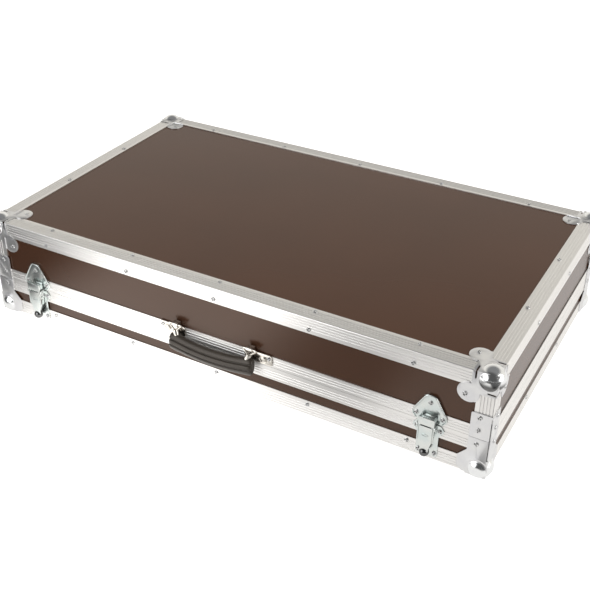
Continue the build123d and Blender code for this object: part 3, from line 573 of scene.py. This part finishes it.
rivet = turned_disc(rivet_radius, rivet_depth, rivet_middle, sides=18)
rivet.data.materials.append(rivet_metal.material)
rivet.data.materials.append(rivet_dent_shade.material)
with on_bench(rivet):
    mark(rivet, "faces", on_top)
    bpy.ops.mesh.bevel(offset=rivet_edge, segments=1)
    mark(rivet, "faces", lambda f: on_top(f) and f.calc_area() > head_area)
    bpy.ops.mesh.poke()
    mark(rivet, "faces", lambda f: on_top(f) and every_other_sixth(f))
    bpy.ops.mesh.inset(thickness=dent_inset)
    bpy.ops.transform.translate(value=(0, 0, -dent_depth))
    # Painted shade: the dents get the near-black material in place of the shade that falls in them.
    rivet.active_material_index = 1
    bpy.ops.object.material_slot_assign()
pick_up(rivet)
bpy.ops.object.shade_smooth_by_angle(angle=math.radians(35))

# Each head is turned by this many degrees for every metre of its place, so that no two look alike.
head_turn = 9100


def on_face(side, along, height, out):
    """Matrix of a fastener on an outer face. along is X, or Y on the ends; top and bottom take X and Y."""
    way = outward[side]
    if side in ("front", "back"):
        spot = Vector((along, 0, height)) + way * (half_depth + out)
    elif side in ("left", "right"):
        spot = Vector((0, along, height)) + way * (half_length + out)
    else:
        face = top_height if side == "top" else floor_to_case
        spot = Vector((along, height, face)) + way * out
    turn = Matrix.Rotation(math.radians((along + height) * head_turn % 360), 4, "Z")
    return Matrix.Translation(spot) @ way.to_track_quat("Z", "Y").to_matrix().to_4x4() @ turn


def both_ways(side, alongs, height, out):
    """Places left and right of a face's middle."""
    return [on_face(side, sign * along, height, out) for along in alongs for sign in (-1, 1)]


rivet_pitch, end_rivets = 0.1536, (-0.075, 0.075)
edge_inset, low_row, high_row = 0.0185, 0.0259, 0.1549


def section_rivets(height, flat):
    """The rivets along both legs of the edging: one row on the walls, one on the top or the bottom."""
    spots = []
    for side in ("front", "back"):
        for along in (n * rivet_pitch for n in range(-2, 3)):
            spots.append(on_face(side, along, height, 0))
            spots.append(on_face(flat, along, outward[side].y * (half_depth - edge_inset), 0))
    for side in ("left", "right"):
        for along in end_rivets:
            spots.append(on_face(side, along, height, 0))
            spots.append(on_face(flat, outward[side].x * (half_length - edge_inset), along, 0))
    return spots


def four_corners(flat, inset, out):
    """Places near the corners of the top or the bottom."""
    ends = [(i * (half_length - inset), j * (half_depth - inset)) for i in (-1, 1) for j in (-1, 1)]
    return [on_face(flat, x, y, out) for x, y in ends]


def near_uprights(inset, height, out):
    """Places on all four walls, beside the upright edges."""
    spots = both_ways("front", [half_length - inset], height, out)
    spots += both_ways("back", [half_length - inset], height, out)
    spots += both_ways("left", [half_depth - inset], height, out)
    return spots + both_ways("right", [half_depth - inset], height, out)


# A row is a height from the floor. Out is from the case's face to the plate that a rivet holds.
petal_rivet, petal_out = 0.0405, -0.0003
upright_rivet, seam_row, brace_rows = 0.0164, 0.0599, (0.0828, 0.1034)
hinge_alongs, hinge_base_row, hinge_lid_row, hinge_out = (0.238, 0.260, 0.282), 0.0576, 0.0816, 0.0018
latch_along, latch_out = 0.3365, 0.0015
plate_half, foot_half, foot_row = 0.0170, 0.0116, 0.0200
catch_half, catch_row, peak_row = 0.0185, 0.0804, 0.1024
bracket_along, bracket_row, bracket_out = 0.0915, 0.0839, 0.0016


def on_latches(half, height):
    """Places on both latches, left and right of each one's middle."""
    return both_ways("front", (latch_along - half, latch_along + half), height, latch_out)


base_spots = section_rivets(low_row, "bottom") + four_corners("bottom", petal_rivet, petal_out)
base_spots += near_uprights(upright_rivet, seam_row, corner_sheet)
base_spots += both_ways("back", hinge_alongs, hinge_base_row, hinge_out)
base_spots += on_latches(plate_half, seam_row) + on_latches(foot_half, foot_row)
lid_spots = section_rivets(high_row, "top") + four_corners("top", petal_rivet, petal_out)
lid_spots += near_uprights(petal_rivet, top_height - petal_rivet, petal_out)
for row in brace_rows:
    lid_spots += near_uprights(upright_rivet, row, corner_sheet)
lid_spots += both_ways("back", hinge_alongs, hinge_lid_row, hinge_out)
lid_spots += both_ways("front", [latch_along], peak_row, latch_out)
lid_spots += on_latches(catch_half, catch_row)
lid_spots += both_ways("front", [bracket_along], bracket_row, bracket_out)
for half, spots in (("base", base_spots), ("lid", lid_spots)):
    heads = joined(f"{half}_rivet_heads", [copy_to(rivet, spot) for spot in spots])
    fit(heads, "rivet", half, f"{half}_rivets")
bpy.data.objects.remove(rivet)


# Hinges. Two plain butt hinges on the back, of steel with bright zinc plating, turn on headed pins.
# One leaf of each is riveted to the base and the other to the lid.
zinc_blue, zinc_pale = (0.60, 0.655, 0.65), (0.68, 0.70, 0.68)
head_edge = 0.0004
blue_zinc = plated("blue_zinc", zinc_blue, roughness=0.24, cast=zinc_pale)
for side in ("left", "right"):
    for half in ("base", "lid"):
        leaf = eased(f"hinge_{half}_leaf_{side}", f"{half}_hinge_leaf_{side}", sheet_edge, blue_zinc)
        fit(leaf, "fitting", half, f"hinge_{half}_leaf_{side}")
pins = eased("hinge_pins", "headed_hinge_pins", head_edge, blue_zinc)
fit(pins, "fitting", "base", "hinge_pins")


# Toggle latches. Each is pressed steel, zinc plated with a blue cast. A catch plate with a rounded rim and
# a hook is riveted to the lid, and a plate with ears to the base. The ears carry the lever, which has a
# stamped pad and a knob in a dark copy of the zinc, a painted dark reflection. The claw turns on the lever
# and reaches in front of the hook.
rim_radius, rim_out, rim_foot = 0.0011, 0.0014, 0.072
# Half the rim, from the foot to the peak: (away from the latch's middle, height)
rim_side = [(0.0188, 0.0715), (0.0239, 0.07875), (0.0239, 0.0831), (0.0064, 0.1133)]
rim_path = rim_side + [(-x, z) for x, z in reversed(rim_side)]
peak_rounding, shoulder_rounding = (0.100, 0.120, 0.0034), (0.076, 0.090, 0.0017)
knob_out, knob_height, knob_radius, knob_slack = 0.0092, 0.0250, 0.0070, 0.0001
pad_out, pad_row, pad_rim, pad_sink = 0.0119, 0.0550, 0.0004, 0.0005
pad_half_width, pad_half_height, pad_depth = 0.0048, 0.0016, 0.0010
catch_edge, lever_edge, plate_edge, pin_edge = 0.0006, 0.0005, 0.0004, 0.0003
knob_reflection_grey, knob_reflection_cast = (0.17, 0.17, 0.17), (0.10, 0.10, 0.10)
knob_painted_reflection = plated("knob_painted_reflection", knob_reflection_grey, roughness=0.16, cast=knob_reflection_cast)


def bent_wire(path, radius, steps, capped):
    """Turns a run of edges into a round wire."""
    pick_up(path)
    bpy.ops.object.convert(target="CURVE")
    wire = bpy.context.object
    wire.data.bevel_depth = radius
    wire.data.bevel_resolution = steps
    wire.data.use_fill_caps = capped
    bpy.ops.object.convert(target="MESH")
    wire = bpy.context.object
    with on_bench(wire):
        bpy.ops.mesh.select_all(action="SELECT")
        bpy.ops.mesh.normals_make_consistent(inside=False)
    wire.data.materials.clear()
    return wire


def catch_rim(along):
    """The rounded rim of a catch plate, open at its foot."""
    bpy.ops.mesh.primitive_circle_add(vertices=len(rim_path), radius=0.02)
    path = bpy.context.object
    for vert, (x, z) in zip(path.data.vertices, rim_path):
        vert.co = (along + x, -half_depth - rim_out, z)
    with on_bench(path):
        mark(path, "edges", lambda e: all(v.co.z < rim_foot for v in e.verts))
        bpy.ops.mesh.delete(type="EDGE")
        for low, high, rounding in (peak_rounding, shoulder_rounding):
            mark(path, "verts", lambda v: low < v.co.z < high)
            bpy.ops.mesh.bevel(offset=rounding, segments=4, affect="VERTICES")
    rim = bent_wire(path, rim_radius, steps=3, capped=True)
    bpy.ops.object.shade_smooth_by_angle(angle=math.radians(40))
    rim.data.materials.append(blue_zinc.material)
    return rim


def stamped_pad(along):
    """The small oval pad on a lever's front plate."""
    bpy.ops.mesh.primitive_cylinder_add(
        vertices=32, radius=1.0, depth=1.0, rotation=(math.radians(90), 0, 0),
        location=(along, -half_depth - pad_out, pad_row))
    pad = bpy.context.object
    pad.scale = (pad_half_width, pad_half_height, pad_depth)
    bpy.ops.object.transform_apply()
    with on_bench(pad):
        mark(pad, "faces", lambda f: f.normal.y < -0.9)
        bpy.ops.mesh.inset(thickness=pad_rim)
        bpy.ops.transform.translate(value=(0, pad_sink, 0))
    pad.data.materials.append(blue_zinc.material)
    return pad


for side, along in (("left", -latch_along), ("right", latch_along)):
    catch = eased(f"latch_catch_{side}", "catch_plate", catch_edge, blue_zinc, steps=3)
    catch = joined(f"catch_plate_{side}", [catch, catch_rim(along)])
    fit(catch, "fitting", "lid", f"latch_catch_{side}")
    plate = eased(f"latch_base_plate_{side}", f"lever_plate_{side}", plate_edge, blue_zinc)
    fit(plate, "fitting", "base", f"latch_base_plate_{side}")
    lever = eased(f"latch_lever_{side}", f"toggle_lever_{side}", lever_edge, blue_zinc, steps=3)
    # Painted reflection: the knob's faces get a dark copy of the zinc, standing in for the dark reflection
    # it shows.
    lever.data.materials.append(knob_painted_reflection.material)
    with on_bench(lever):
        knob_middle = Vector((along, -half_depth - knob_out, knob_height))
        knob_reach = knob_radius + knob_slack
        mark(lever, "faces", lambda f: (f.calc_center_median() - knob_middle).length < knob_reach)
        lever.active_material_index = 1
        bpy.ops.object.material_slot_assign()
    lever = joined(f"toggle_lever_{side}", [lever, stamped_pad(along)])
    fit(lever, "fitting", f"latch_{side}_lever", f"latch_lever_{side}")
    lever_pin = eased(f"latch_loop_pin_{side}", f"claw_pin_{side}", pin_edge, blue_zinc)
    fit(lever_pin, "fitting", f"latch_{side}_lever", f"latch_loop_pin_{side}")
    claw = eased(f"latch_loop_{side}", f"latch_claw_{side}", plate_edge, blue_zinc, steps=3)
    fit(claw, "fitting", f"latch_{side}_loop", f"latch_loop_{side}")
pivots = eased("latch_pivot_pins", "lever_pivot_pins", pin_edge, blue_zinc)
fit(pivots, "fitting", "base", "latch_pivot_pins")


# Handle brackets. Two pressed steel brackets, nickel plated, carry the handle on the lid's closure section.
# Each has a barrel for its wire ring, and is fixed with a rivet and a screw.
handle_axis, hang_angle = Vector((0, -0.254, 0.0954)), -8.0
hang = Matrix.Translation(handle_axis) @ Matrix.Rotation(math.radians(hang_angle), 4, "X")
nickel_warm, nickel_cast = (0.76, 0.72, 0.66), (0.70, 0.67, 0.62)
nickel = plated("nickel", nickel_warm, roughness=0.20, cast=nickel_cast)
brackets = eased("handle_brackets", "pressed_handle_brackets", plate_edge, nickel)
fit(brackets, "fitting", "lid", "handle_brackets")


# Grip. It is moulded in black plastic, curved and thicker at its ends, with two grooves along its front.
# It hangs a little away from the case, on the ferrules that are set in its ends.
black_plastic, worn_plastic = (0.0215, 0.0170, 0.0130), (0.031, 0.025, 0.0195)
plastic_reflection = (1.0, 0.93, 0.86, 1.0)
grip_drop, grip_height, grip_thick = 0.0340, 0.0270, 0.0155
groove_places, groove_depth, groove_reach = (-0.0042, 0.0042), 0.0026, 0.0011
# Half the length, from the middle to one end: (along, drop of the middle line, height, share of thickness)
grip_stations = [
    (0.012, 0.0338, 0.0270, 1.0), (0.024, 0.0331, 0.0270, 1.0), (0.036, 0.0320, 0.0272, 1.0),
    (0.048, 0.0303, 0.0278, 1.0), (0.056, 0.0290, 0.0284, 1.0), (0.062, 0.0283, 0.0284, 1.0),
    (0.067, 0.0280, 0.0276, 0.98), (0.0698, 0.0279, 0.0252, 0.88), (0.0710, 0.0279, 0.0214, 0.70),
    (0.0714, 0.0279, 0.0150, 0.45),
]
weld_distance = 0.00001
grip_plastic = new_finish("moulded_grip", black_plastic, roughness=0.42)
grip_coords = grip_plastic.node("TexCoord", output=3)
pores = grip_plastic.node("TexVoronoi", (), {"Vector": grip_coords, "Scale": 900.0})
wear = grip_plastic.node("TexNoise", (), {"Vector": grip_coords, "Scale": 45.0, "Detail": 4.0})
worn = grip_plastic.node("ValToRGB", {"stops": [(0.4, black_plastic), (0.75, worn_plastic)]}, {"Fac": wear})
pore_bump = grip_plastic.node("Bump", (), {"Height": pores, "Strength": 0.15, "Distance": 0.0003})
grip_plastic.put(Base_Color=worn, Roughness=wear * 0.16 + 0.34, Normal=pore_bump)
grip_plastic.put(Specular_Tint=plastic_reflection, Coat_Weight=0.0)

bpy.ops.mesh.primitive_circle_add(vertices=64, radius=1.0, rotation=(0, math.radians(90), 0))
grip = bpy.context.object
bpy.ops.object.transform_apply()
with on_bench(grip):
    bpy.ops.mesh.select_all(action="SELECT")
    bpy.ops.transform.resize(value=(1, grip_thick / 2, grip_height / 2), center_override=(0, 0, 0))
    bpy.ops.transform.translate(value=(0, 0, -grip_drop))
    for groove in groove_places:
        mark(grip, "verts", lambda v: v.co.y < 0 and abs(v.co.z + grip_drop - groove) < groove_reach)
        bpy.ops.transform.translate(value=(0, groove_depth, 0))
    last_x, last_drop, last_height, last_share = 0.0, grip_drop, grip_height, 1.0
    mark(grip, "verts", lambda v: True)
    for x, drop, height, share in grip_stations:
        bpy.ops.mesh.extrude_edges_move(TRANSFORM_OT_translate={"value": (x - last_x, 0, last_drop - drop)})
        grow = (1, share / last_share, height / last_height)
        bpy.ops.transform.resize(value=grow, center_override=(x, 0, -drop))
        last_x, last_drop, last_height, last_share = x, drop, height, share
    bpy.ops.mesh.edge_face_add()
    bpy.ops.mesh.poke()
finish_with(grip, "MIRROR", use_axis=(True, False, False), use_clip=True, merge_threshold=weld_distance)
with on_bench(grip):
    bpy.ops.mesh.select_all(action="SELECT")
    bpy.ops.mesh.remove_doubles(threshold=weld_distance)
    bpy.ops.mesh.normals_make_consistent(inside=False)
finish_with(grip, "SUBSURF", levels=1, render_levels=1)
bpy.ops.object.shade_smooth()
grip.data.transform(hang)
grip.name = "ribbed_grip"
grip.data.materials.append(grip_plastic.material)
fit(grip, "grip", "handle", "handle_grip")


# Wire rings. Each is a triangle of nickel-plated steel wire with rounded corners.
# Its top side turns in the barrel of a bracket, and a ferrule hangs from its lower corner.
wire_radius, wire_rounding = 0.0015, 0.0016
ring_corners = ((0.053, 0.0), (0.075, 0.0), (0.0635, -0.011))
rings = []
for sign in (-1, 1):
    bpy.ops.mesh.primitive_circle_add(vertices=len(ring_corners), radius=0.01)
    path = bpy.context.object
    for vert, (x, z) in zip(path.data.vertices, ring_corners):
        vert.co = (sign * x, 0, z)
    with on_bench(path):
        bpy.ops.mesh.select_all(action="SELECT")
        bpy.ops.mesh.bevel(offset=wire_rounding, segments=5, affect="VERTICES")
    ring = bent_wire(path, wire_radius, steps=4, capped=False)
    bpy.ops.object.shade_smooth()
    ring.data.transform(hang)
    rings.append(ring)
wire_rings = joined("triangle_wire_rings", rings)
wire_rings.data.materials.append(nickel.material)
fit(wire_rings, "fitting", "handle", "handle_rings")


# Ferrules. They are short turned steel tubes, nickel plated and open at the top.
# Each is set at a slant in one end of the grip.
ferrule_radius, ferrule_wall, ferrule_mouth, ferrule_edge = 0.0042, 0.0011, 0.0022, 0.0004
ferrule_top, ferrule_foot = (0.0635, -0.0085), (0.0585, -0.0230)
ferrules = []
for sign in (-1, 1):
    top, foot = (Vector((sign * x, 0, z)) for x, z in (ferrule_top, ferrule_foot))
    bpy.ops.mesh.primitive_cylinder_add(vertices=32, radius=ferrule_radius, depth=(top - foot).length)
    ferrule = bpy.context.object
    with on_bench(ferrule):
        mark(ferrule, "faces", on_top)
        bpy.ops.mesh.inset(thickness=ferrule_wall)
        bpy.ops.mesh.extrude_region_move(TRANSFORM_OT_translate={"value": (0, 0, -ferrule_mouth)})
        mark(ferrule, "edges", lambda e: e.is_manifold and e.calc_face_angle() > 1.0)
        bpy.ops.mesh.bevel(offset=ferrule_edge, segments=2)
    bpy.ops.object.shade_smooth_by_angle(angle=math.radians(35))
    slant = (top - foot).to_track_quat("Z", "Y").to_matrix().to_4x4()
    ferrule.data.transform(hang @ Matrix.Translation((top + foot) / 2) @ slant)
    ferrule.data.materials.append(nickel.material)
    ferrules.append(ferrule)
fit(joined("steel_ferrules", ferrules), "fitting", "handle", "handle_ferrules")


# Bracket screws. A slotted steel screw on a dished washer holds each bracket, beside its rivet.
# Both are nickel plated like the bracket.
screw_along, screw_row = 0.0825, 0.0799
screw_radius, screw_depth, screw_middle, screw_edge = 0.0046, 0.0024, 0.0008, 0.0009
slot_half, slot_depth = 0.00045, 0.0009
washer_radius, washer_depth, washer_middle, washer_edge = 0.0062, 0.0010, 0.0003, 0.0004
washer_rim, washer_dish, washer_area = 0.0010, 0.0003, 1e-5
screws = []
for spot in both_ways("front", [screw_along], screw_row, bracket_out):
    screw = turned_disc(screw_radius, screw_depth, screw_middle, sides=32)
    with on_bench(screw):
        mark(screw, "faces", on_top)
        bpy.ops.mesh.bevel(offset=screw_edge, segments=3)
        for slot_side in (slot_half, -slot_half):
            bpy.ops.mesh.select_all(action="SELECT")
            bpy.ops.mesh.bisect(plane_co=(0, slot_side, 0), plane_no=(0, 1, 0))
        mark(screw, "faces", lambda f: f.normal.z > 0.5 and abs(f.calc_center_median().y) < slot_half)
        bpy.ops.mesh.extrude_region_move(TRANSFORM_OT_translate={"value": (0, 0, -slot_depth)})
    washer = turned_disc(washer_radius, washer_depth, washer_middle, sides=40)
    with on_bench(washer):
        mark(washer, "faces", on_top)
        bpy.ops.mesh.bevel(offset=washer_edge, segments=2)
        mark(washer, "faces", lambda f: on_top(f) and f.calc_area() > washer_area)
        bpy.ops.mesh.inset(thickness=washer_rim)
        bpy.ops.transform.translate(value=(0, 0, -washer_dish))
    screw = joined("washer_screw", [screw, washer])
    bpy.ops.object.shade_smooth_by_angle(angle=math.radians(35))
    screw.data.transform(spot)
    screw.data.materials.append(nickel.material)
    screws.append(screw)
fit(joined("slotted_bracket_screws", screws), "rivet", "lid", "handle_bracket_screws")


# Foam. The case is lined with dark grey foam: a bed in the base, a pad in the lid and strips on the walls.
# Each piece is cut from sheet and glued, so its face is flat with soft, slightly crowned edges.
foam_grey, foam_dark, foam_pale = (0.022, 0.022, 0.024), (0.021, 0.021, 0.023), (0.027, 0.027, 0.029)
foam_inset, foam_rounding, foam_rim = 0.45, 0.22, 0.48
strip_thick, strip_gap, strip_crown, cushion_crown = 0.012, 0.0003, 0.12, 0.1
foam = new_finish("grey_foam", foam_grey, roughness=0.95)
foam_coords = foam.node("TexCoord", output=3)
cells = foam.node("TexVoronoi", (), {"Vector": foam_coords, "Scale": 700.0})
soft_cloud = foam.node("TexNoise", (), {"Vector": foam_coords, "Scale": 25.0, "Detail": 3.0})
foam_tint = foam.node("ValToRGB", {"stops": [(0.3, foam_dark), (0.7, foam_pale)]}, {"Fac": soft_cloud})
foam_bump = foam.node("Bump", (), {"Height": cells, "Strength": 0.5, "Distance": 0.0006})
foam.put(Base_Color=foam_tint, Roughness=cells * 0.1 + 0.88, Normal=foam_bump, Specular_IOR_Level=0.2)


def foam_slab(name, low, high, crown):
    """A slab of foam between two corners, its edges rounded, with a slight crown on its large faces."""
    middle = [(a + b) / 2 for a, b in zip(low, high)]
    size = [b - a for a, b in zip(low, high)]
    thin = size.index(min(size))
    large_face = size[thin - 1] * size[thin - 2]
    bpy.ops.mesh.primitive_cube_add(size=1.0, location=middle)
    slab = bpy.context.object
    slab.scale = size
    bpy.ops.object.transform_apply()

    def at_side(face):
        return abs(face.normal[thin]) < 0.9 or face.calc_area() < 0.9 * large_face

    def near_rim(vert):
        wide = [axis for axis in range(3) if axis != thin]
        return any(abs(vert.co[axis] - middle[axis]) > size[axis] * foam_rim for axis in wide)

    with on_bench(slab):
        mark(slab, "faces", lambda f: abs(f.normal[thin]) > 0.9)
        bpy.ops.mesh.inset(thickness=size[thin] * foam_inset)
        mark(slab, "edges", lambda e: all(at_side(f) for f in e.link_faces) and e.calc_face_angle(0) > 1.0)
        bpy.ops.mesh.bevel(offset=size[thin] * foam_rounding, segments=4)
        mark(slab, "verts", near_rim)
        shrink = [1.0 - crown if axis == thin else 1.0 for axis in range(3)]
        bpy.ops.transform.resize(value=shrink, center_override=middle)
    bpy.ops.object.shade_smooth_by_angle(angle=math.radians(40))
    slab.name = name
    slab.data.materials.append(foam.material)
    return slab


def foam_walls(node):
    """Four foam strips along the walls, inside the CAD lining's box."""
    low, high = (Vector(corner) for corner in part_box(node))
    inner = high.y - strip_thick - strip_gap
    strips = []
    for sign in (-1, 1):
        y0, y1 = sorted((sign * high.y, sign * (high.y - strip_thick)))
        strips.append(foam_slab("foam_strip", (low.x, y0, low.z), (high.x, y1, high.z), strip_crown))
        x0, x1 = sorted((sign * high.x, sign * (high.x - strip_thick)))
        strips.append(foam_slab("foam_strip", (x0, -inner, low.z), (x1, inner, high.z), strip_crown))
    return joined(node.replace("foam_lining", "wall_foam"), strips)


for half, pad in (("base", "base_foam_bed"), ("lid", "lid_foam_pad")):
    walls = foam_walls(f"{half}_foam_lining")
    fit(walls, "foam", half, f"{half}_foam_lining")
    cushion = foam_slab(f"{half}_foam_cushion", *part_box(pad), cushion_crown)
    fit(cushion, "foam", half, pad)
